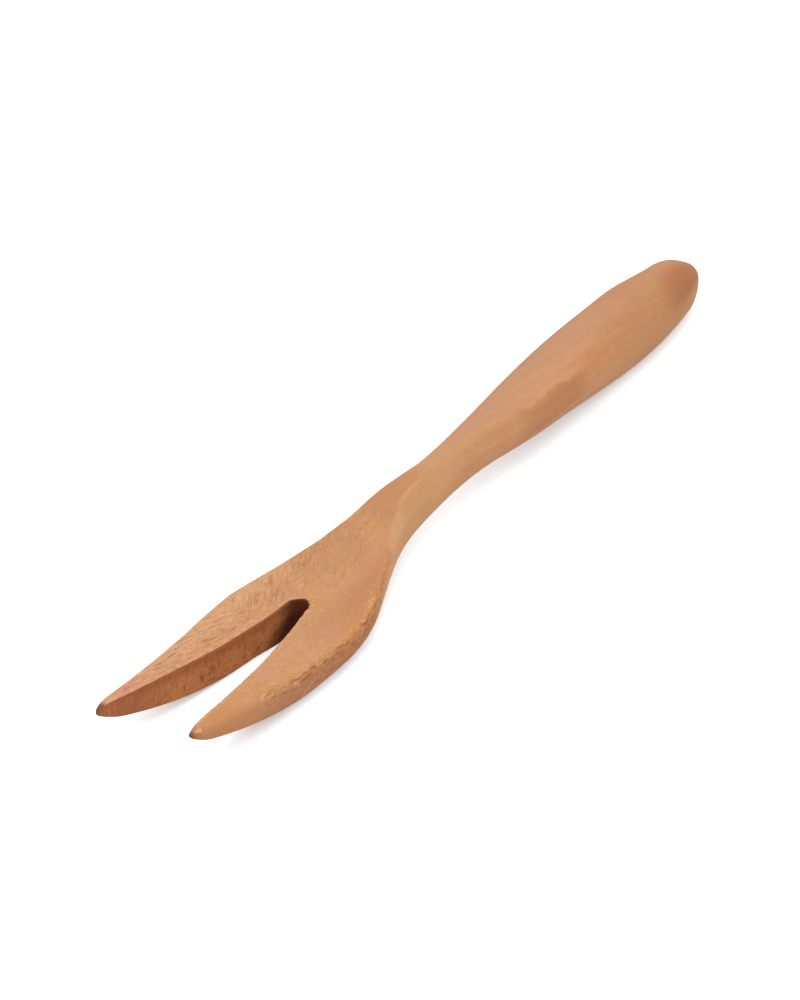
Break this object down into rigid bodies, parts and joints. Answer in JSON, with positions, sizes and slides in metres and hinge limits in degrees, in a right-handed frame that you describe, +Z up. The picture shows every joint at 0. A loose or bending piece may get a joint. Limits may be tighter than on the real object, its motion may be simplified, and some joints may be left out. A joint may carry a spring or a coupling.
{
  "type": "tapas fork",
  "caption": "Small wooden serving fork carved from solid hardwood, with a split and upswept head, a slim neck and a swelling oval handle.",
  "frame": {"origin": "on the resting plane, under the middle of the overall length and the middle of the slot", "axes": "+Y along the fork from the tines to the handle's end, +X to the right, +Z up from the resting plane"},
  "size_m": [0.0202, 0.15, 0.0101],
  "materials": {
    "wood": "sanded and lightly oiled, satin"
  },
  "bodies": {
    "root": {"fork": "wood"}
  },
  "joints": []
}
